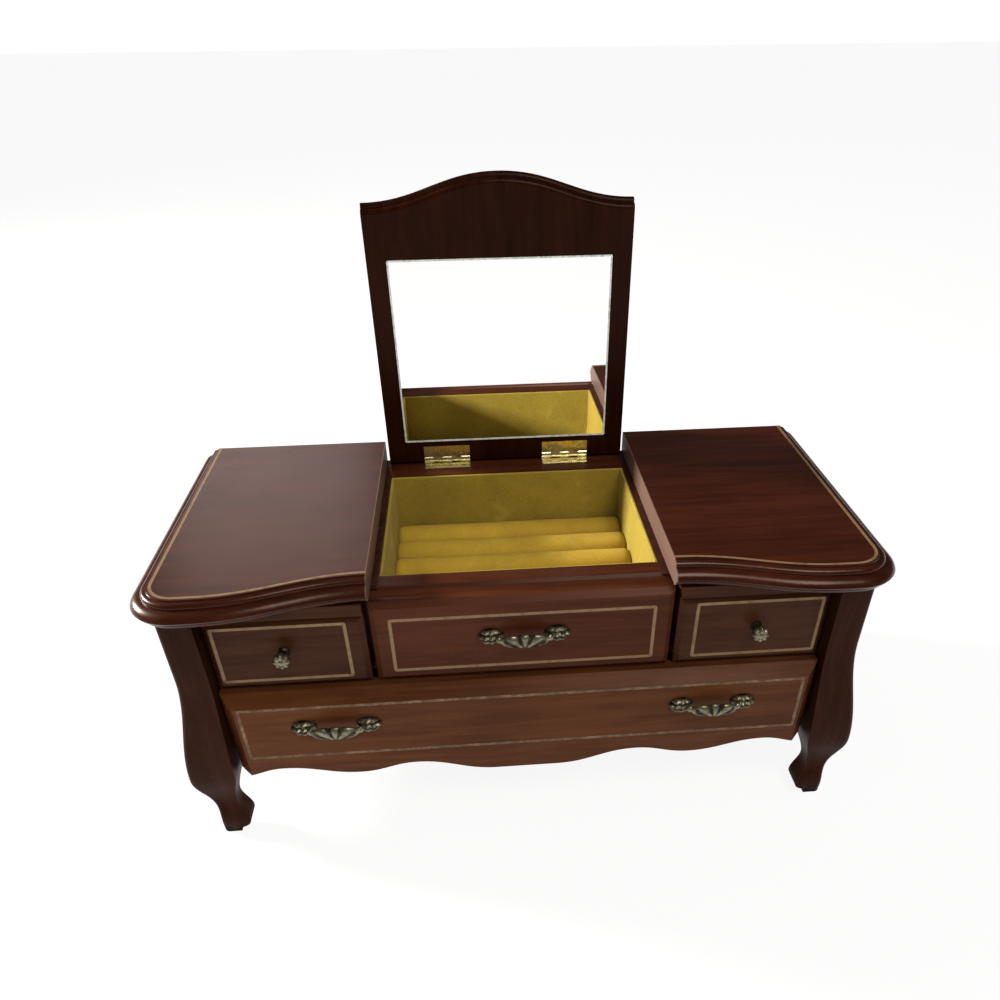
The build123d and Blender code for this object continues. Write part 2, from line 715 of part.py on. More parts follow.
for screws_name, screw_plane, screw_places in (
    ("hinge_case_screws", Plane.XY.offset(rim_z), case_screw_places),
    ("hinge_lid_screws", lid_plane.offset(lid_underside), lid_screw_places),
):
    with BuildPart() as screws:
        head_height = hinge_screw_head_radius - hinge_screw_radius
        with BuildSketch(screw_plane):
            with Locations(*screw_places):
                Circle(hinge_screw_radius)
        extrude(amount=-hinge_screw_length)
        with Locations(screw_plane):
            with Locations(*screw_places):
                Cone(
                    hinge_screw_radius,
                    hinge_screw_head_radius,
                    head_height,
                    align=(Align.CENTER, Align.CENTER, Align.MAX),
                )
        with BuildSketch(screw_plane):
            with Locations(*screw_places):
                Rectangle(2 * hinge_screw_head_radius, hinge_screw_slot, rotation=hinge_screw_turn)
        extrude(amount=-hinge_screw_slot_depth, mode=Mode.SUBTRACT)
    screws.part.label = screws_name
    export_step(screws.part, f"parts/{screws_name}.step")

# Drawer fronts
with BuildPart() as right_drawer_front:
    with BuildSketch(facing_front(face_y)):
        with Locations((drawer_front_inner, upper_front_z)):
            Rectangle(drawer_front_outer - drawer_front_inner, upper_drawer_front_height, align=Align.MIN)
    extrude(amount=-upper_drawer_front_thickness)
    field = right_drawer_front.faces().sort_by(Axis.Y)[0]
    chamfer(field.edges(), upper_bevel_width, upper_bevel_depth, reference=field)
    with BuildSketch(facing_front(face_y)):
        with Locations((knob_x, knob_z)):
            Circle(handle_screw_radius + screw_clearance)
    extrude(amount=-upper_drawer_front_thickness, mode=Mode.SUBTRACT)
right_drawer_front.part.label = "right_drawer_front"
export_step(right_drawer_front.part, "parts/right_drawer_front.step")

lower_pull_places = [(-lower_pull_x, lower_pull_z), (lower_pull_x, lower_pull_z)]
screw_offsets_from_pull = (-pull_screw_x, pull_screw_x)
lower_screw_places = [(x + offset, z) for x, z in lower_pull_places for offset in screw_offsets_from_pull]
with BuildPart() as lower_drawer_front:
    with BuildSketch(facing_front(lower_face_y)):
        with BuildLine():
            for side in (-1, 1):
                turns = [(side * x, z) for x, z in [(drawer_front_outer, scallop_end_z)] + scallop_turns]
                for start, end in zip(turns, turns[1:]):
                    s_curve(start, end, curve_fullness)
            last_turn = scallop_turns[-1]
            Line((-last_turn[0], last_turn[1]), last_turn)
            Polyline(
                (-drawer_front_outer, scallop_end_z),
                (-drawer_front_outer, lower_front_top_z),
                (drawer_front_outer, lower_front_top_z),
                (drawer_front_outer, scallop_end_z),
            )
        make_face()
    extrude(amount=-lower_front_thickness)
    field = lower_drawer_front.faces().sort_by(Axis.Y)[0]
    chamfer(field.edges().sort_by(Axis.Z)[-1], lower_top_bevel, lower_bevel_depth, reference=field)
    field = lower_drawer_front.faces().sort_by(Axis.Y)[0]
    ends = field.edges().filter_by(Axis.Z)
    chamfer(ends, lower_side_bevel, lower_bevel_depth, reference=field)
    with BuildSketch(facing_front(lower_face_y)):
        with Locations(*lower_screw_places):
            Circle(handle_screw_radius + screw_clearance)
    extrude(amount=-lower_front_thickness, mode=Mode.SUBTRACT)
lower_drawer_front.part.label = "lower_drawer_front"
export_step(lower_drawer_front.part, "parts/lower_drawer_front.step")

# Drawer boxes
upper_box = (upper_front_back_y, upper_floor_z, upper_box_height)
lower_box = (lower_front_back_y, lower_floor_z, lower_box_height)
for drawer_name, box_left, box_right, (box_front_y, box_floor_z, box_height) in (
    ("right_drawer", drawer_box_inner, drawer_box_outer, upper_box),
    ("left_drawer", -drawer_box_outer, -drawer_box_inner, upper_box),
    ("lower_drawer", -drawer_box_outer, drawer_box_outer, lower_box),
):
    box_z = box_floor_z + drawer_running_gap
    box_depth = drawer_back_y - box_front_y
    for side, side_x in (("left", box_left), ("right", box_right - drawer_board)):
        with BuildPart() as drawer_side:
            with BuildSketch(Plane.XY.offset(box_z)):
                with Locations((side_x, box_front_y)):
                    Rectangle(drawer_board, box_depth, align=Align.MIN)
            extrude(amount=box_height)
        drawer_side.part.label = f"{drawer_name}_{side}_side"
        export_step(drawer_side.part, f"parts/{drawer_name}_{side}_side.step")
    with BuildPart() as drawer_back:
        with BuildSketch(Plane.XY.offset(box_z)):
            with Locations((box_left + drawer_board, drawer_back_y - drawer_board)):
                Rectangle(box_right - box_left - 2 * drawer_board, drawer_board, align=Align.MIN)
        extrude(amount=box_height)
    drawer_back.part.label = f"{drawer_name}_back"
    export_step(drawer_back.part, f"parts/{drawer_name}_back.step")
    with BuildPart() as drawer_bottom:
        with BuildSketch(Plane.XY.offset(box_z + drawer_bottom_lift)):
            with Locations((box_left + drawer_board, box_front_y)):
                Rectangle(box_right - box_left - 2 * drawer_board, box_depth - drawer_board, align=Align.MIN)
        extrude(amount=drawer_bottom_thickness)
    drawer_bottom.part.label = f"{drawer_name}_bottom"
    export_step(drawer_bottom.part, f"parts/{drawer_name}_bottom.step")

# Knobs, turned, each held by a screw from inside its drawer
with BuildPart() as right_drawer_knob:
    with BuildSketch(Plane(origin=(knob_x, face_y, knob_z), x_dir=(1, 0, 0), z_dir=(0, 0, 1))):
        with BuildLine():
            Polyline(
                (0, -knob_stand),
                (0, 0),
                (knob_foot_radius, 0),
                (knob_foot_radius, -knob_foot_thickness),
                (knob_stem_radius, -2 * knob_foot_thickness),
                (knob_stem_radius, -knob_stem_end),
            )
            Spline(
                (knob_stem_radius, -knob_stem_end),
                (knob_radius, -knob_widest),
                (0, -knob_stand),
                tangents=((1, 0), (-1, 0)),
            )
        make_face()
    revolve(axis=Axis((knob_x, face_y, knob_z), (0, 1, 0)))
    with BuildSketch(facing_front(face_y)):
        with Locations((knob_x, knob_z)):
            Circle(handle_screw_radius + screw_clearance)
    extrude(amount=handle_screw_bite + screw_clearance, mode=Mode.SUBTRACT)
right_drawer_knob.part.label = "right_drawer_knob"
export_step(right_drawer_knob.part, "parts/right_drawer_knob.step")

with BuildPart() as right_knob_screw:
    with BuildSketch(facing_front(upper_front_back_y)):
        with Locations((knob_x, knob_z)):
            Circle(handle_screw_radius)
    extrude(amount=upper_drawer_front_thickness + handle_screw_bite)
    with BuildSketch(facing_front(upper_front_back_y)):
        with Locations((knob_x, knob_z)):
            Circle(handle_screw_head_radius)
    extrude(amount=-handle_screw_head)
right_knob_screw.part.label = "right_drawer_knob_screw"
export_step(right_knob_screw.part, "parts/right_drawer_knob_screw.step")

for piece_name, right_piece in (
    ("drawer_front", right_drawer_front),
    ("drawer_knob", right_drawer_knob),
    ("drawer_knob_screw", right_knob_screw),
):
    with BuildPart() as left_piece:
        mirror(right_piece.part, about=Plane.YZ)
    left_piece.part.label = f"left_{piece_name}"
    export_step(left_piece.part, f"parts/left_{piece_name}.step")

# Pulls: two leaves against the front, and a bar that stands forward between them with a boss in its middle
for pull_name, pull_x, pull_y, pull_z in (
    ("false_front_pull", 0, face_y, false_pull_z),
    ("lower_drawer_left_pull", -lower_pull_x, lower_face_y, lower_pull_z),
    ("lower_drawer_right_pull", lower_pull_x, lower_face_y, lower_pull_z),
):
    bar_y = pull_y - pull_stand + pull_bar_radius
    with BuildPart() as pull:
        leaf_places = [(pull_x - pull_screw_x, pull_z), (pull_x + pull_screw_x, pull_z)]
        with BuildSketch(facing_front(pull_y)):
            with Locations(*leaf_places):
                Ellipse(pull_leaf_length / 2, pull_leaf_height / 2)
        extrude(amount=pull_leaf_thickness)
        with BuildLine(Plane.XY.offset(pull_z)) as bar:
            FilletPolyline(
                (pull_x - pull_bar_root, pull_y - pull_leaf_thickness / 2),
                (pull_x - pull_bar_shoulder, bar_y + pull_bar_rise),
                (pull_x, bar_y),
                (pull_x + pull_bar_shoulder, bar_y + pull_bar_rise),
                (pull_x + pull_bar_root, pull_y - pull_leaf_thickness / 2),
                radius=pull_bar_bend,
            )
        with BuildSketch(Plane(origin=bar.wires()[0] @ 0, z_dir=bar.wires()[0] % 0)):
            Circle(pull_bar_radius)
        sweep(path=bar.wires()[0])
        with BuildSketch(facing_front(bar_y + pull_boss_thickness / 2)):
            with Locations((pull_x, pull_z)):
                Ellipse(pull_boss_length / 2, pull_boss_height / 2)
        extrude(amount=pull_boss_thickness)
        with BuildSketch(facing_front(pull_y)):
            with Locations(*leaf_places):
                Circle(handle_screw_radius + screw_clearance)
        extrude(amount=handle_screw_bite + screw_clearance, mode=Mode.SUBTRACT)
    pull.part.label = pull_name
    export_step(pull.part, f"parts/{pull_name}.step")

for screws_name, screw_places, front_y, head_y in (
    ("false_front_pull_screws", pull_screw_places, face_y, false_back_y - handle_screw_head),
    ("lower_pull_screws", lower_screw_places, lower_face_y, lower_front_back_y),
):
    with BuildPart() as screws:
        with BuildSketch(facing_front(head_y)):
            with Locations(*screw_places):
                Circle(handle_screw_radius)
        extrude(amount=head_y - front_y + handle_screw_bite)
        with BuildSketch(facing_front(head_y)):
            with Locations(*screw_places):
                Circle(handle_screw_head_radius)
        extrude(amount=-handle_screw_head)
    screws.part.label = screws_name
    export_step(screws.part, f"parts/{screws_name}.step")
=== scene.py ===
import math
import random
import bmesh
import bpy
from mathutils import Matrix, Vector, noise


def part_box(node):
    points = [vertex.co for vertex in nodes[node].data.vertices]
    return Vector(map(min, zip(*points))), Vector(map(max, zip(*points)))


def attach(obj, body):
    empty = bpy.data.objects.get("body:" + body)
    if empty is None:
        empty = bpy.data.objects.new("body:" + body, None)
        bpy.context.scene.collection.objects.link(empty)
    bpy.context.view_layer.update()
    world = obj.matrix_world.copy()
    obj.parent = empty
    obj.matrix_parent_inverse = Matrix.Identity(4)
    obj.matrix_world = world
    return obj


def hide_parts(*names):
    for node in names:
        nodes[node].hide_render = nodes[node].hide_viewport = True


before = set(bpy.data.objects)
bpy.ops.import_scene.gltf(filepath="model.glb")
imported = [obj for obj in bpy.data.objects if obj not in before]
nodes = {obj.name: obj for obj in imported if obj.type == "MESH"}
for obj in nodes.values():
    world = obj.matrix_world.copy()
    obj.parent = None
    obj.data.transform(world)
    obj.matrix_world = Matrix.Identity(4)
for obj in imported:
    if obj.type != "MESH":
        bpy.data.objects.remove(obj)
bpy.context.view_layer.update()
print("vanity box loaded:", len(nodes), "wooden, brass and cloth pieces")

mm = 0.001


class Wire:  # an output socket; sums and products of wires add Math nodes
    def __init__(self, bench, socket):
        self.bench = bench
        self.socket = socket

    def calc(self, operation, *values):
        inputs = dict(enumerate((self,) + values))
        return self.bench.add("ShaderNodeMath", {"operation": operation}, inputs)[0]

    def __add__(self, other):
        return self.calc("ADD", other)

    def __radd__(self, other):
        return self.calc("ADD", other)

    def __sub__(self, other):
        return self.calc("SUBTRACT", other)

    def __rsub__(self, other):
        return (self * -1).calc("ADD", other)

    def __mul__(self, other):
        return self.calc("MULTIPLY", other)

    def __rmul__(self, other):
        return self.calc("MULTIPLY", other)

    def ramp(self, low, high):  # 0 at low, 1 at high, held outside them
        settings = {"clamp": True, "interpolation_type": "SMOOTHSTEP"}
        inputs = {"Value": self, "From Min": low, "From Max": high}
        return self.bench.add("ShaderNodeMapRange", settings, inputs)[0]


class Bench:  # makes nodes in one tree
    def __init__(self, tree):
        self.tree = tree

    def add(self, kind, settings=None, inputs=None):
        node = self.tree.nodes.new(kind)
        for key, value in (settings or {}).items():
            setattr(node, key, value)
        for key, value in (inputs or {}).items():
            if isinstance(value, Wire):
                self.tree.links.new(value.socket, node.inputs[key])
            else:
                node.inputs[key].default_value = value
        return [Wire(self, output) for output in node.outputs]

    def mix(self, factor, first, second):  # colours
        inputs = {0: factor, 6: first, 7: second}
        return self.add("ShaderNodeMix", {"data_type": "RGBA"}, inputs)[2]

    def place(self, scale=(1, 1, 1), turn=(0, 0, 0)):  # object coordinates, stretched
        point = self.add("ShaderNodeTexCoord")[3]
        return self.add("ShaderNodeMapping", None, {"Vector": point, "Scale": scale, "Rotation": turn})[0]

    def speckle(self, scale, detail=3, rough=0.5, point=None, warp=0.0):
        inputs = {"Scale": scale, "Detail": detail, "Roughness": rough, "Distortion": warp}
        inputs["Vector"] = point or self.place()
        return self.add("ShaderNodeTexNoise", None, inputs)[0]

    def bump(self, height, distance, strength=1.0):
        inputs = {"Height": height, "Distance": distance, "Strength": strength}
        return self.add("ShaderNodeBump", None, inputs)[0]


def newMaterial(name, recipe):  # recipe takes a bench and returns the Principled shader's sockets
    material = bpy.data.materials.new(name)
    material.use_nodes = True
    tree = material.node_tree
    tree.nodes.clear()
    bench = Bench(tree)
    surface = bench.add("ShaderNodeBsdfPrincipled", None, recipe(bench))[0]
    bench.add("ShaderNodeOutputMaterial", None, {"Surface": surface})
    return material


def paint(material, *names):  # a CAD node's finish
    for name in names:
        slots = nodes[name].material_slots
        if not slots:
            nodes[name].data.materials.append(material)
        for slot in nodes[name].material_slots:
            slot.material = material


def newPiece(name, mesh, material, body, smooth=True):
    piece = bpy.data.objects.new(name, mesh)
    bpy.context.scene.collection.objects.link(piece)
    mesh.materials.clear()
    mesh.materials.append(material)
    for polygon in mesh.polygons:
        polygon.use_smooth = smooth
    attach(piece, body)
    return piece


def closedMesh(name, bm, merge=True):  # boards and castings that only touch aren't merged
    if merge:
        bmesh.ops.remove_doubles(bm, verts=bm.verts, dist=0.00001)
    bmesh.ops.recalc_face_normals(bm, faces=bm.faces)
    mesh = bpy.data.meshes.new(name)
    bm.to_mesh(mesh)
    bm.free()
    return mesh


def applyModifiers(piece, mesh):  # the evaluated shape as a plain mesh
    depsgraph = bpy.context.evaluated_depsgraph_get()
    result = bpy.data.meshes.new_from_object(piece.evaluated_get(depsgraph))
    bpy.data.objects.remove(piece)
    bpy.data.meshes.remove(mesh)
    return result


lacquer = {
    "roughness": 0.24,
    "glare": (1.0, 0.76, 0.66, 1),  # tint of what the lacquer mirrors
    # pale sawn ends, also a painted highlight standing in for the side light's glare
    "glareAndPaleEnd": (0.15, 0.088, 0.073, 1),
    "grainLength": 14,  # how many times longer than wide the grain is
    "grainScale": 190,
    "scratchDepth": 0.00001,
}


def lacqueredWood(name, along, shine, deep, warm, wornFeet=False, glareAndPaleEnds=False, dulled=0.0):
    stretch = {"x": (1 / lacquer["grainLength"], 1, 1), "z": (1, 1, 1 / lacquer["grainLength"])}[along]

    def recipe(bench):
        grainPoint = bench.place(stretch)
        grain = bench.speckle(lacquer["grainScale"], 5, 0.6, grainPoint, 0.6)
        pores = bench.speckle(lacquer["grainScale"] * 5, 2, 0.5, grainPoint)
        cloud = bench.speckle(16, 2, 0.5)
        tone = (grain * 0.55 + pores * 0.15 + cloud * 0.3).ramp(0.36, 0.66)
        color = bench.mix(tone, deep, warm)
        smear = bench.speckle(38, 4, 0.65)
        roughness = lacquer["roughness"] + dulled + smear.ramp(0.3, 0.9) * 0.06
        if wornFeet:
            height = bench.add("ShaderNodeSeparateXYZ", None, {"Vector": bench.place()})[2]
            scuff = (1 - height.ramp(0.001, 0.013)) * bench.speckle(260, 4, 0.7).ramp(0.35, 0.6)
            color = bench.mix(scuff * 0.85, color, (0.008, 0.006, 0.005, 1))
            roughness = roughness + scuff * 0.45
        if glareAndPaleEnds:  # the sawn ends beside the lid: paler where they took less stain, and made paler still as a painted highlight for the side light's glare
            axes = bench.add("ShaderNodeSeparateXYZ", None, {"Vector": bench.place()})
            beside = 1 - axes[0].calc("ABSOLUTE").ramp(0.0671, 0.0675)
            pale = beside * axes[2].ramp(0.1272, 0.1275)
            pale = pale * (0.75 + smear * 0.25)
            color = bench.mix(pale, color, lacquer["glareAndPaleEnd"])
            roughness = roughness + pale * 0.22
        return {
            "Base Color": color,
            "Roughness": roughness,
            "Specular IOR Level": shine,
            "Specular Tint": lacquer["glare"],
            "Normal": bench.bump(grain, lacquer["scratchDepth"], 0.5),
        }

    return newMaterial(name, recipe)


partTonesLitAndShaded = {  # the stain between the grain and in it, one copy per part made lighter or darker as painted light and shade
    "top": ((0.023, 0.0040, 0.0012, 1), (0.047, 0.0092, 0.0030, 1)),
    "lid": ((0.011, 0.0020, 0.0008, 1), (0.022, 0.0052, 0.0022, 1)),
    "leg": ((0.019, 0.0050, 0.0024, 1), (0.036, 0.0110, 0.0056, 1)),
    "drawer": ((0.029, 0.0088, 0.0036, 1), (0.053, 0.0180, 0.0080, 1)),
    "falseFront": ((0.040, 0.0105, 0.0042, 1), (0.072, 0.0210, 0.0090, 1)),
    "lowerFront": ((0.056, 0.0170, 0.0052, 1), (0.098, 0.0330, 0.0110, 1)),
    "wall": ((0.032, 0.0074, 0.0028, 1), (0.062, 0.0165, 0.0066, 1)),
    "side": ((0.022, 0.0055, 0.0026, 1), (0.044, 0.0125, 0.0062, 1)),
}

topWood = lacqueredWood("topWood", "x", 0.34, *partTonesLitAndShaded["top"], glareAndPaleEnds=True)
lidWood = lacqueredWood("lidWood", "z", 0.07, *partTonesLitAndShaded["lid"])
legWood = lacqueredWood("legWood", "z", 0.07, *partTonesLitAndShaded["leg"], wornFeet=True, dulled=0.2)
drawerWood = lacqueredWood("drawerWood", "x", 0.10, *partTonesLitAndShaded["drawer"])
falseFrontWood = lacqueredWood("falseFrontWood", "x", 0.10, *partTonesLitAndShaded["falseFront"])
lowerFrontWood = lacqueredWood("lowerFrontWood", "x", 0.10, *partTonesLitAndShaded["lowerFront"])
wallWood = lacqueredWood("wallWood", "x", 0.10, *partTonesLitAndShaded["wall"])
sideWood = lacqueredWood("sideWood", "z", 0.14, *partTonesLitAndShaded["side"])


def plainWoodRecipe(bench):
    grainPoint = bench.place((1, 1 / 12, 1))
    grain = bench.speckle(230, 5, 0.62, grainPoint, 0.8)
    pores = bench.speckle(1500, 2, 0.5, grainPoint)
    tone = (grain * 0.75 + pores * 0.25).ramp(0.34, 0.68)
    return {
        "Base Color": bench.mix(tone, (0.13, 0.062, 0.030, 1), (0.27, 0.145, 0.074, 1)),
        "Roughness": 0.58 + tone * 0.14,
        "Normal": bench.bump(grain + pores * 0.5, 0.00006, 0.6),
    }


plainWood = newMaterial("plainWood", plainWoodRecipe)

velvetLook = {
    "shade": (0.260, 0.152, 0.010, 1),
    "light": (0.560, 0.370, 0.028, 1),
    "rub": (0.660, 0.480, 0.085, 1),
    # the lining walls use a darker copy of the same velvet: painted shade
    "wallShade": (0.170, 0.118, 0.009, 1),
    "wallLight": (0.400, 0.292, 0.026, 1),
}


def velvetRecipe(bench, shade="shade", light="light"):
    nap = bench.speckle(34, 4, 0.62, None, 0.4)
    fibre = bench.speckle(2600, 2, 0.6)
    brushed = bench.speckle(11, 2, 0.5)
    tone = (nap * 0.30 + fibre * 0.5 + brushed * 0.2).ramp(0.28, 0.70)
    color = bench.mix(tone, velvetLook[shade], velvetLook[light])
    color = bench.mix(bench.speckle(60, 3, 0.6).ramp(0.58, 0.80) * 0.3, color, velvetLook["rub"])
    return {
        "Base Color": color,
        "Roughness": 0.92,
        "Sheen Weight": 0.06,
        "Sheen Roughness": 0.4,
        "Sheen Tint": (0.95, 0.85, 0.45, 1),
        "Normal": bench.bump(fibre * 0.6 + nap * 0.4, 0.00018, 0.6),
    }


velvet = newMaterial("velvet", velvetRecipe)
shadedWallVelvet = newMaterial("shadedWallVelvet", lambda bench: velvetRecipe(bench, "wallShade", "wallLight"))


def hingeBrassRecipe(bench):
    rub = bench.speckle(420, 3, 0.6, bench.place((0.12, 1, 1)))
    tarnish = bench.speckle(150, 4, 0.6).ramp(0.48, 0.72)
    return {
        "Base Color": bench.mix(tarnish * 0.6, (0.77, 0.70, 0.44, 1), (0.40, 0.33, 0.17, 1)),
        "Metallic": 1.0,
        "Roughness": 0.20 + rub * 0.12 + tarnish * 0.2,
        "Normal": bench.bump(rub, 0.00002, 0.5),
    }


hingeBrass = newMaterial("hingeBrass", hingeBrassRecipe)


def antiqueBrassRecipe(bench):
    patinaAndShade = bench.add("ShaderNodeAttribute", {"attribute_name": "patinaAndShade"})[2]
    patches = bench.speckle(330, 4, 0.65).ramp(0.40, 0.64)
    # darker with random grime patches, with patina in the castings' hollows, and with painted shade on the
    # knobs' stems
    grimeAndShade = (patches * 0.5 + patinaAndShade.ramp(0.3, 0.9) * 0.8).calc("MINIMUM", 1.0)
    pitting = bench.speckle(1400, 3, 0.6)
    return {
        "Base Color": bench.mix(grimeAndShade, (0.27, 0.245, 0.165, 1), (0.026, 0.020, 0.012, 1)),
        "Metallic": 0.9,
        "Roughness": 0.34 + grimeAndShade * 0.25,
        "Normal": bench.bump(pitting, 0.00006, 0.7),
    }


antiqueBrass = newMaterial("antiqueBrass", antiqueBrassRecipe)


def silveredGlassRecipe(bench):
    haze = bench.speckle(45, 3, 0.6).ramp(0.5, 0.85)
    return {
        "Base Color": (0.985, 0.99, 0.98, 1),
        "Metallic": 1.0,
        "Roughness": 0.012 + haze * 0.02,
    }


silveredGlass = newMaterial("silveredGlass", silveredGlassRecipe)


def screwSteelRecipe(bench):
    swirl = bench.speckle(700, 3, 0.6)
    return {
        "Base Color": bench.mix(swirl.ramp(0.35, 0.7), (0.60, 0.60, 0.58, 1), (0.36, 0.35, 0.33, 1)),
        "Metallic": 1.0,
        "Roughness": 0.3 + swirl * 0.15,
    }


screwSteel = newMaterial("screwSteel", screwSteelRecipe)


def goldPaintRecipe(bench, low=0.46, high=0.80):  # rubbed away where the noise passes these
    worn = bench.speckle(240, 4, 0.7).ramp(low, high)
    return {
        "Base Color": bench.mix(worn, (0.200, 0.122, 0.060, 1), (0.085, 0.043, 0.020, 1)),
        "Metallic": 0.15,
        "Roughness": 0.36 + worn * 0.2,
        "Specular IOR Level": 0.3,
    }


goldPaint = newMaterial("goldPaint", goldPaintRecipe)
rubbedPaint = newMaterial("rubbedPaint", lambda bench: goldPaintRecipe(bench, 0.30, 0.62))

paint(topWood, "left_top", "right_top")
paint(lidWood, "lid_board")
paint(legWood, "left_front_leg", "right_front_leg", "left_rear_leg", "right_rear_leg")
paint(drawerWood, "left_drawer_front", "right_drawer_front", "left_frieze", "right_frieze")
paint(falseFrontWood, "false_front")
paint(lowerFrontWood, "lower_drawer_front")
paint(wallWood, "well_front_wall", "hinge_rail")
paint(sideWood, "left_side_panel", "right_side_panel", "left_partition", "right_partition", "back_panel")
paint(plainWood, "bottom_board", "dust_panel", "well_back_wall")
for side in ("left", "right"):
    paint(plainWood, f"{side}_upper_guide", f"{side}_lower_guide")
    paint(hingeBrass, f"{side}_hinge_case_leaf", f"{side}_hinge_lid_leaf", f"{side}_hinge_pin")
    paint(screwSteel, f"{side}_drawer_knob_screw")
for drawer in ("left_drawer", "right_drawer", "lower_drawer"):
    paint(plainWood, *[f"{drawer}_{board}" for board in ("left_side", "right_side", "back", "bottom")])
paint(hingeBrass, "hinge_case_screws", "hinge_lid_screws")
paint(screwSteel, "false_front_pull_screws", "lower_pull_screws")
paint(silveredGlass, "mirror_glass")
print("finishes on the carcass, drawers and hinges")


def lineTree():  # a thin flat band along a path in the XY plane
    tree = bpy.data.node_groups.new("goldLine", "GeometryNodeTree")
    kinds = {"Geometry": "Geometry", "Width": "Float", "Thickness": "Float", "Corner": "Float"}
    kinds["Paint"] = "Material"
    for name, kind in kinds.items():
        tree.interface.new_socket(name, in_out="INPUT", socket_type="NodeSocket" + kind)
    tree.interface.new_socket("Geometry", in_out="OUTPUT", socket_type="NodeSocketGeometry")
    bench = Bench(tree)
    path, width, thickness, corner, finish = bench.add("NodeGroupInput")[:5]
    curve = bench.add("GeometryNodeMeshToCurve", None, {"Mesh": path})[0]
    filletInputs = {"Curve": curve, "Radius": corner, "Count": 3, "Limit Radius": True}
    curve = bench.add("GeometryNodeFilletCurve", {"mode": "POLY"}, filletInputs)[0]
    curve = bench.add("GeometryNodeSetCurveNormal", {"mode": "Z_UP"}, {"Curve": curve})[0]
    bandInputs = {"Width": width, "Height": thickness}
    band = bench.add("GeometryNodeCurvePrimitiveQuadrilateral", None, bandInputs)[0]
    sweepInputs = {"Curve": curve, "Profile Curve": band, "Fill Caps": True}
    mesh = bench.add("GeometryNodeCurveToMesh", None, sweepInputs)[0]
    mesh = bench.add("GeometryNodeRealizeInstances", None, {"Geometry": mesh})[0]
    mesh = bench.add("GeometryNodeSetMaterial", None, {"Geometry": mesh, "Material": finish})[0]
    bench.add("NodeGroupOutput", None, {"Geometry": mesh})
    return tree


goldLine = lineTree()


def goldBand(name, path, closed, placing, body, values, finish=goldPaint):
    mesh = bpy.data.meshes.new(name)
    points = [(x * mm, y * mm, 0) for x, y in path]
    edges = [(i, i + 1) for i in range(len(path) - 1)]
    if closed:
        edges.append((len(points) - 1, 0))
    mesh.from_pydata(points, edges, [])
    guide = bpy.data.objects.new(name + "Guide", mesh)
    bpy.context.scene.collection.objects.link(guide)
    modifier = guide.modifiers.new("line", "NODES")
    modifier.node_group = goldLine
    given = {key.capitalize(): values[key] * mm for key in ("width", "thickness", "corner")}
    given["Paint"] = finish
    for item in goldLine.interface.items_tree:
        if item.in_out == "INPUT" and item.name in given:
            modifier[item.identifier] = given[item.name]
    line = applyModifiers(guide, mesh)
    line.transform(placing)
    if placing.determinant() < 0:
        line.flip_normals()
    newPiece(name, line, finish, body, smooth=False)


topLine = {
    "width": 1.35,
    "thickness": 0.08,
    "corner": 0.4,
    "inset": 1.5,
    "radius": 12.0,
    "mouldReach": 8.0,  # from the arris to the nose of the tops' moulding
    "frontRise": 12.3,  # how far the front edge steps back beside the lid
    "curveWidth": 71.0,
    "leave": 0.42,  # where the curve's two handles lie along its width
    "arrive": 0.58,
    "cornerSteps": 8,
    "curveSteps": 24,
}


def edge(name, axis, high):
    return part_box(name)[1 if high else 0][axis] / mm


topOuter = edge("right_top", 0, True) - topLine["mouldReach"] - topLine["inset"]
topFront = edge("right_top", 1, False) + topLine["mouldReach"] + topLine["inset"]
topBack = edge("right_top", 1, True)
topInner = edge("right_top", 0, False)
curveEnd = topInner + topLine["curveWidth"]


def topPath():
    points = [(topOuter, topBack), (topOuter, topFront + topLine["radius"])]
    for step in range(1, topLine["cornerSteps"] + 1):
        angle = math.radians(90 * step / topLine["cornerSteps"])
        x = topOuter - topLine["radius"] * (1 - math.cos(angle))
        points.append((x, topFront + topLine["radius"] * (1 - math.sin(angle))))
    for step in range(topLine["curveSteps"] + 1):
        t = step / topLine["curveSteps"]
        early, late = 3 * t * (1 - t) ** 2, 3 * t * t * (1 - t)
        along = early * topLine["leave"] + late * topLine["arrive"] + t ** 3
        x = curveEnd + (topInner - curveEnd) * along
        points.append((x, topFront + topLine["frontRise"] * (late + t ** 3)))
    return points


topFace = edge("right_top", 2, True)
onTop = Matrix.Translation((0, 0, (topFace + topLine["thickness"] / 2) * mm))
goldBand("rightTopLine", topPath(), False, onTop, "case", topLine)
goldBand("leftTopLine", topPath(), False, onTop @ Matrix.Scale(-1, 4, (1, 0, 0)), "case", topLine)

frontLine = {
    "width": 1.5,
    "thickness": 0.08,
    "corner": 0.5,
    "falseFront": (-59.0, 59.0, 89.9, 118.1),  # left, right, low and high
    "rightDrawer": (78.6, 136.1, 88.6, 118.0),
    "leftDrawer": (-136.1, -78.6, 88.6, 118.0),
    "lowerDrawer": (-131.5, 131.5, 47.7, 78.0),
}


def onFront(name):  # XY of the path becomes XZ on a front's face
    face = edge(name, 1, False) * mm - frontLine["thickness"] / 2 * mm
    return Matrix.Translation((0, face, 0)) @ Matrix.Rotation(math.radians(90), 4, "X")


def rectangle(left, right, low, high):
    return [(left, low), (right, low), (right, high), (left, high)]


def frontBand(line, node, body, finish=goldPaint):
    path = rectangle(*frontLine[line])
    goldBand(line + "Line", path, True, onFront(node), body, frontLine, finish)


frontBand("falseFront", "false_front", "case")
frontBand("rightDrawer", "right_drawer_front", "right_drawer")
frontBand("leftDrawer", "left_drawer_front", "left_drawer")
frontBand("lowerDrawer", "lower_drawer_front", "lower_drawer", rubbedPaint)
print("gold lines painted")


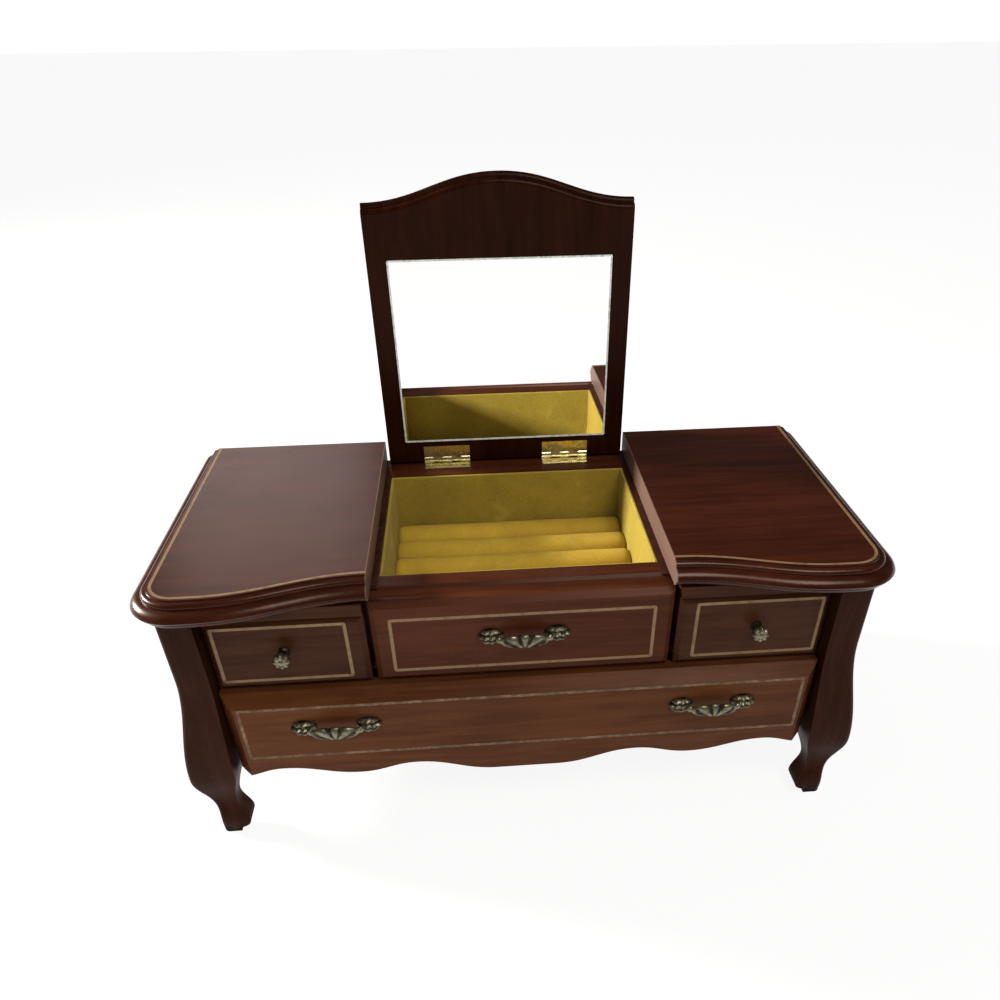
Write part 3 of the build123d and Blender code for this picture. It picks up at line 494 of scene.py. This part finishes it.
def groundGlassRecipe(bench):
    chips = bench.speckle(500, 3, 0.6)
    return {
        "Base Color": bench.mix(chips.ramp(0.4, 0.7), (0.72, 0.76, 0.72, 1), (0.42, 0.46, 0.43, 1)),
        "Roughness": 0.35 + chips * 0.2,
        "Specular IOR Level": 0.6,
    }


groundGlass = newMaterial("groundGlass", groundGlassRecipe)
mirrorEdge = {
    "width": 0.9,
    "thickness": 0.1,
    "corner": 0.3,
    "inset": 0.55,
    "sunk": 0.02,
    "lean": 1.0,  # degrees past upright
}


def mirrorEdgePiece():
    glass = nodes["mirror_glass"].data
    corners = [vertex.co / mm for vertex in glass.vertices]
    lean = math.radians(mirrorEdge["lean"])
    left = min(point.x for point in corners) + mirrorEdge["inset"]
    face = min(point.y * math.cos(lean) - point.z * math.sin(lean) for point in corners)
    rises = [point.z * math.cos(lean) + point.y * math.sin(lean) for point in corners]
    path = rectangle(left, -left, min(rises) + mirrorEdge["inset"], max(rises) - mirrorEdge["inset"])
    middle = face - mirrorEdge["thickness"] / 2 + mirrorEdge["sunk"]
    out = Matrix.Rotation(-lean, 4, "X") @ Matrix.Translation((0, middle * mm, 0))
    placing = out @ Matrix.Rotation(math.radians(90), 4, "X")
    goldBand("mirrorEdge", path, True, placing, "lid", mirrorEdge, groundGlass)


mirrorEdgePiece()


rollLook = {
    "count": 5,
    "gap": 0.5,
    "valley": 7.0,  # height where two rolls meet
    "lump": 0.28,
    "alongSteps": 56,
    "aroundSteps": 18,
}


def ringRoll(index):
    low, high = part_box("ring_rolls")
    left, right = low[0] / mm, high[0] / mm
    pitch = (high[1] - low[1]) / mm / rollLook["count"]
    middle = low[1] / mm + (index + 0.5) * pitch
    half = pitch / 2 - rollLook["gap"] / 2
    floor, top = low[2] / mm, high[2] / mm
    rng = random.Random(index + 3)
    drift = rng.uniform(0, 40)
    bm = bmesh.new()
    rings = []
    for i in range(rollLook["alongSteps"] + 1):
        t = i / rollLook["alongSteps"]
        x = left - 0.2 + (right - left + 0.4) * t
        endDistance = min(t, 1 - t) * (right - left)
        full = 0.92 + 0.08 * math.sqrt(max(0.0, 1 - (1 - min(endDistance / 3.2, 1)) ** 2))
        ring = [bm.verts.new((x * mm, (middle - half * full) * mm, floor * mm))]
        for j in range(rollLook["aroundSteps"] + 1):
            a = math.pi * j / rollLook["aroundSteps"]
            wobble = noise.noise(Vector((x * 0.06 + drift, a, index * 3.1))) * rollLook["lump"]
            wobble += noise.noise(Vector((x * 0.35 + drift, a * 2, index))) * rollLook["lump"] * 0.3
            y = middle - half * full * math.copysign(abs(math.cos(a)) ** 0.9, math.cos(a))
            rise = (top - floor - rollLook["valley"] - 0.35) * math.sin(a) ** 0.85
            z = floor + (rollLook["valley"] + rise + wobble * math.sin(a)) * full
            ring.append(bm.verts.new((x * mm, y * mm, min(z, top) * mm)))
        ring.append(bm.verts.new((x * mm, (middle + half * full) * mm, floor * mm)))
        rings.append(ring)
    for first, second in zip(rings, rings[1:]):
        for j in range(len(first)):
            k = (j + 1) % len(first)
            bm.faces.new((first[j], first[k], second[k], second[j]))
    bm.faces.new(rings[0])
    bm.faces.new(list(reversed(rings[-1])))
    piece = newPiece(f"ringRoll{index + 1}", closedMesh(f"ringRoll{index + 1}", bm), velvet, "case")
    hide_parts("ring_rolls")


for rollIndex in range(rollLook["count"]):
    ringRoll(rollIndex)

liningLook = {"thickness": 1.5, "soften": 0.6}


def liningBoards():
    low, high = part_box("well_lining")
    t = liningLook["thickness"] * mm
    boards = (
        ((low[0], low[1], low[2]), (high[0], low[1] + t, high[2])),
        ((low[0], high[1] - t, low[2]), (high[0], high[1], high[2])),
        ((low[0], low[1] + t, low[2]), (low[0] + t, high[1] - t, high[2])),
        ((high[0] - t, low[1] + t, low[2]), (high[0], high[1] - t, high[2])),
    )
    bm = bmesh.new()
    for first, last in boards:
        size = [b - a for a, b in zip(first, last)]
        middle = [(a + b) / 2 for a, b in zip(first, last)]
        bmesh.ops.create_cube(bm, size=1, matrix=Matrix.Translation(middle) @ Matrix.Diagonal((*size, 1)))
    edges = [e for e in bm.edges if all(v.co.z > high[2] - 0.0001 for v in e.verts)]
    bmesh.ops.bevel(bm, geom=edges, offset=liningLook["soften"] * mm, segments=4, profile=0.6, affect="EDGES")
    return closedMesh("wellLining", bm, merge=False)


lining = newPiece("wellLining", liningBoards(), shadedWallVelvet, "case", smooth=False)
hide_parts("well_lining")
print("ring rolls and lining laid in")


pullLook = {
    "leafAt": 15.0,
    "leafLength": 6.1,
    "leafHeight": 4.0,
    "leafRise": 4.2,
    "leafRings": 12,
    "leafAround": 64,
    "fingerPitch": 2.7,  # the leaf's three lobes, one over the other
    "bowRoot": 12.4,
    "bowStand": 5.7,
    "neck": 1.35,
    "shellHeight": 3.5,
    "shellReach": 0.6,  # share of the bow's length that the shell takes
    "ribs": 9,
    "ribDepth": 0.42,
    "bowSteps": 108,
    "bowAround": 40,
    "spacing": 88.5,  # of the lower drawer's pulls from the middle
}


def castLeaf(bm, patinaAndShade, centreX, centreZ, face, outward):  # three lobes, domed towards the front
    rings = []
    around = pullLook["leafAround"]
    for i in range(pullLook["leafRings"] + 1):
        r = i / pullLook["leafRings"]
        ring = []
        for j in range(around):
            a = 2 * math.pi * j / around
            along = math.cos(a) * pullLook["leafLength"] * r
            above = math.sin(a) * pullLook["leafHeight"] * r
            finger = 0.5 + 0.5 * math.cos(2 * math.pi * above / pullLook["fingerPitch"])
            if along > 0:
                along *= 0.8 + 0.2 * finger
            curl = 0.9 + 0.1 * math.cos(2.2 * along + 1.0)
            rise = pullLook["leafRise"] * math.sqrt(max(0.0, 1 - r ** 2.6)) * (0.6 + 0.4 * finger) * curl
            place = Vector((centreX + outward * along, face - rise, centreZ + above))
            ring.append(bm.verts.new(place * mm))
            ring[-1][patinaAndShade] = 1 - finger
            if i == 0:
                break
        rings.append(ring)
    for j in range(around):
        bm.faces.new((rings[0][0], rings[1][j], rings[1][(j + 1) % around]))
    for first, second in zip(rings[1:], rings[2:]):
        for j in range(around):
            k = (j + 1) % around
            bm.faces.new((first[j], second[j], second[k], first[k]))
    bm.faces.new(rings[-1])


def castBow(bm, patinaAndShade, centreX, centreZ, face):  # a bow that widens into a ribbed shell at its middle
    rings = []
    steps = pullLook["bowSteps"]
    around = pullLook["bowAround"]
    for i in range(steps + 1):
        u = 2 * i / steps - 1
        shell = max(0.0, 1 - (u / pullLook["shellReach"]) ** 2) ** 0.65
        reach = 1 - abs(u) ** 3.2
        out = 1.6 + (pullLook["bowStand"] - 1.6) * reach
        tall = pullLook["neck"] + (pullLook["shellHeight"] - pullLook["neck"]) * shell
        deep = 1.15 + 0.5 * shell + 0.3 * math.exp(-((abs(u) - 0.74) / 0.06) ** 2)
        tall += 0.45 * math.exp(-((abs(u) - 0.74) / 0.06) ** 2)
        slope = math.copysign(3.2 * abs(u) ** 2.2 * 0.45, u)
        across = Vector((-slope, math.cos(u * math.pi / 2) + 0.05, 0)).normalized()
        ring = []
        for j in range(around):
            a = 2 * math.pi * j / around
            x = pullLook["bowRoot"] * math.sin(u * math.pi / 2)
            above = math.sin(a) * tall
            rib = math.cos(pullLook["ribs"] * math.atan2(x, above + pullLook["shellHeight"] * 1.35))
            above *= 1 + 0.07 * rib * shell
            place = Vector((centreX + x, face - out, centreZ + above))
            place += across * math.cos(a) * (deep + pullLook["ribDepth"] * rib * shell)
            ring.append(bm.verts.new(place * mm))
            ring[-1][patinaAndShade] = (0.5 - 0.5 * rib) * min(1.0, shell * 1.5)
        rings.append(ring)
    for first, second in zip(rings, rings[1:]):
        for j in range(around):
            k = (j + 1) % around
            bm.faces.new((first[j], first[k], second[k], second[j]))
    bm.faces.new(rings[0])
    bm.faces.new(list(reversed(rings[-1])))


def castPull(name, node, centreX, body):
    low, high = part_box(node)
    face = high[1] / mm
    centreZ = (low[2] + high[2]) / 2 / mm
    bm = bmesh.new()
    patinaAndShade = bm.verts.layers.float.new("patinaAndShade")
    for outward in (-1, 1):
        castLeaf(bm, patinaAndShade, centreX + outward * pullLook["leafAt"], centreZ, face, outward)
    castBow(bm, patinaAndShade, centreX, centreZ, face)
    piece = newPiece(name, closedMesh(name, bm, merge=False), antiqueBrass, body)
    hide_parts(node)


castPull("falseFrontPull", "false_front_pull", 0.0, "case")
castPull("lowerLeftPull", "lower_drawer_left_pull", -pullLook["spacing"], "lower_drawer")
castPull("lowerRightPull", "lower_drawer_right_pull", pullLook["spacing"], "lower_drawer")

knobLook = {
    "petals": 8,
    "around": 64,
    "stem": ((2.7, 0.0), (2.8, 0.4), (2.3, 0.9), (1.8, 1.4), (1.6, 2.4), (1.8, 3.4)),  # radius, distance out
    "bowl": ((2.6, 4.2), (3.5, 5.0), (4.1, 6.0), (4.1, 6.9), (3.6, 7.8)),
    "crown": ((3.0, 8.3), (2.4, 8.3), (1.8, 8.2), (1.3, 8.6), (0.8, 8.9), (0.35, 9.0)),
}


def castKnob(name, node, body):  # a turned stem with a petalled head
    low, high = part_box(node)
    face = high[1] / mm
    centreX = (low[0] + high[0]) / 2 / mm
    centreZ = (low[2] + high[2]) / 2 / mm
    bm = bmesh.new()
    patinaAndShade = bm.verts.layers.float.new("patinaAndShade")
    rings = []
    around = knobLook["around"]
    for radius, out in knobLook["stem"] + knobLook["bowl"] + knobLook["crown"]:
        ring = []
        for j in range(around):
            a = 2 * math.pi * j / around
            petal = math.cos(knobLook["petals"] * a)
            share = 0.07 if out > 4 and radius > 2.6 else (0.05 if out < 1.3 else 0.0)
            r = radius * (1 - share + share * petal)
            lift = 0.16 * petal if 2.0 < radius < 3.8 and out > 7.5 else 0.0
            x, z = centreX + r * math.cos(a), centreZ + r * math.sin(a)
            ring.append(bm.verts.new((x * mm, (face - out - lift) * mm, z * mm)))
            # the stem under the head is painted dark as shade; between the petals is patina
            ring[-1][patinaAndShade] = 1.0 if out < 4.5 else 0.32 - 0.32 * petal
        rings.append(ring)
    for first, second in zip(rings, rings[1:]):
        for j in range(around):
            k = (j + 1) % around
            bm.faces.new((first[j], second[j], second[k], first[k]))
    bm.faces.new(list(reversed(rings[0])))
    bm.faces.new(rings[-1])
    piece = newPiece(name, closedMesh(name, bm), antiqueBrass, body)
    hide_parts(node)


castKnob("leftKnob", "left_drawer_knob", "left_drawer")
castKnob("rightKnob", "right_drawer_knob", "right_drawer")
print("pulls and knobs cast")


studio = {
    "floorWhite": 0.94,
    "world": 0.46,
    "glossyWorld": 0.06,
    "floorShow": 0.9,  # how far the floor goes to white for the eye
    "floorDrop": 0.0002,
}

bm = bmesh.new()
bmesh.ops.create_grid(bm, x_segments=1, y_segments=1, size=12)
floorMesh = bpy.data.meshes.new("floor")
bm.to_mesh(floorMesh)
bm.free()
floor = bpy.data.objects.new("floor", floorMesh)
floor.location.z = -studio["floorDrop"]
bpy.context.scene.collection.objects.link(floor)


def floorPaper():  # white to the eye, with the box's own shadow
    material = bpy.data.materials.new("floorPaper")
    material.use_nodes = True
    tree = material.node_tree
    tree.nodes.clear()
    bench = Bench(tree)
    rays = bench.add("ShaderNodeLightPath")
    seen = (rays[0] + rays[3]).calc("MINIMUM", 1.0)
    white = studio["floorWhite"]
    paper = bench.add("ShaderNodeBsdfDiffuse", None, {"Color": (white, white, white, 1)})[0]
    glow = bench.add("ShaderNodeEmission", None, {"Color": (1, 1, 1, 1), "Strength": 1.0})[0]
    surface = bench.add("ShaderNodeMixShader", None, {0: seen * studio["floorShow"], 1: paper, 2: glow})[0]
    bench.add("ShaderNodeOutputMaterial", None, {"Surface": surface})
    return material


floorMesh.materials.append(floorPaper())

world = bpy.data.worlds.new("studio")
bpy.context.scene.world = world
world.use_nodes = True
world.node_tree.nodes.clear()
worldBench = Bench(world.node_tree)
worldRays = worldBench.add("ShaderNodeLightPath")
cameraRay = worldRays[0]
glossyRay = worldRays[3]
plain = studio["world"]
brightness = plain + cameraRay * (1 - plain) + glossyRay * (studio["glossyWorld"] - plain)
sky = worldBench.add("ShaderNodeBackground", None, {"Color": (1, 1, 1, 1), "Strength": brightness})[0]
worldBench.add("ShaderNodeOutputWorld", None, {"Surface": sky})


lamps = {
    "keyLight": {
        "place": (0.38, -0.75, 1.40),
        "target": (0, -0.03, 0.09),
        "size": (0.7, 0.6),
        "power": 11.0,
        "color": (1.0, 0.95, 0.88),
    },
    "windowLight": {  # its glare lies on the left top
        "place": (-0.51, 1.36, 0.86),
        "target": (-0.13, 0.01, 0.139),
        "size": (0.52, 0.75),
        "power": 1.9,
        "color": (1.0, 0.94, 0.93),
    },
    "sideLight": {  # lights the well's right lining
        "place": (-1.33, 0.46, 0.64),
        "target": (0.064, 0, 0.11),
        "size": (0.2, 0.2),
        "power": 58.0,
        "color": (1.0, 0.97, 0.88),
    },
}


def softLight(name, look):
    light = bpy.data.lights.new(name, "AREA")
    light.shape = "RECTANGLE"
    light.size, light.size_y = look["size"]
    light.energy = look["power"]
    light.color = look["color"]
    lamp = bpy.data.objects.new(name, light)
    lamp.location = look["place"]
    ahead = Vector(look["target"]) - Vector(look["place"])
    lamp.rotation_euler = ahead.to_track_quat("-Z", "Y").to_euler()
    bpy.context.scene.collection.objects.link(lamp)


for lampName, lampLook in lamps.items():
    softLight(lampName, lampLook)

cameraLook = {
    "place": (-18.07, -346.63, 328.27),
    "yaw": 4.23,  # to the right of straight ahead
    "pitch": -37.32,
    "roll": -0.57,
    "lens": 28.76,
    "shift": (-0.0302, 0.1236),
}


def aimCamera():
    yaw, pitch, roll = [math.radians(cameraLook[key]) for key in ("yaw", "pitch", "roll")]
    ahead = Vector((math.sin(yaw) * math.cos(pitch), math.cos(yaw) * math.cos(pitch), math.sin(pitch)))
    level = Vector((math.cos(yaw), -math.sin(yaw), 0))
    above = level.cross(ahead)
    right = level * math.cos(roll) + above * math.sin(roll)
    up = above * math.cos(roll) - level * math.sin(roll)
    turn = Matrix((right, up, -ahead)).transposed().to_4x4()
    data = bpy.data.cameras.new("camera")
    data.lens = cameraLook["lens"]
    data.sensor_width = 36
    data.shift_x, data.shift_y = cameraLook["shift"]
    data.clip_start = 0.01
    camera = bpy.data.objects.new("camera", data)
    camera.matrix_world = Matrix.Translation(Vector(cameraLook["place"]) * mm) @ turn
    bpy.context.scene.collection.objects.link(camera)
    bpy.context.scene.camera = camera


aimCamera()
bpy.context.scene.view_settings.view_transform = "Standard"
print("floor, lights and camera set")
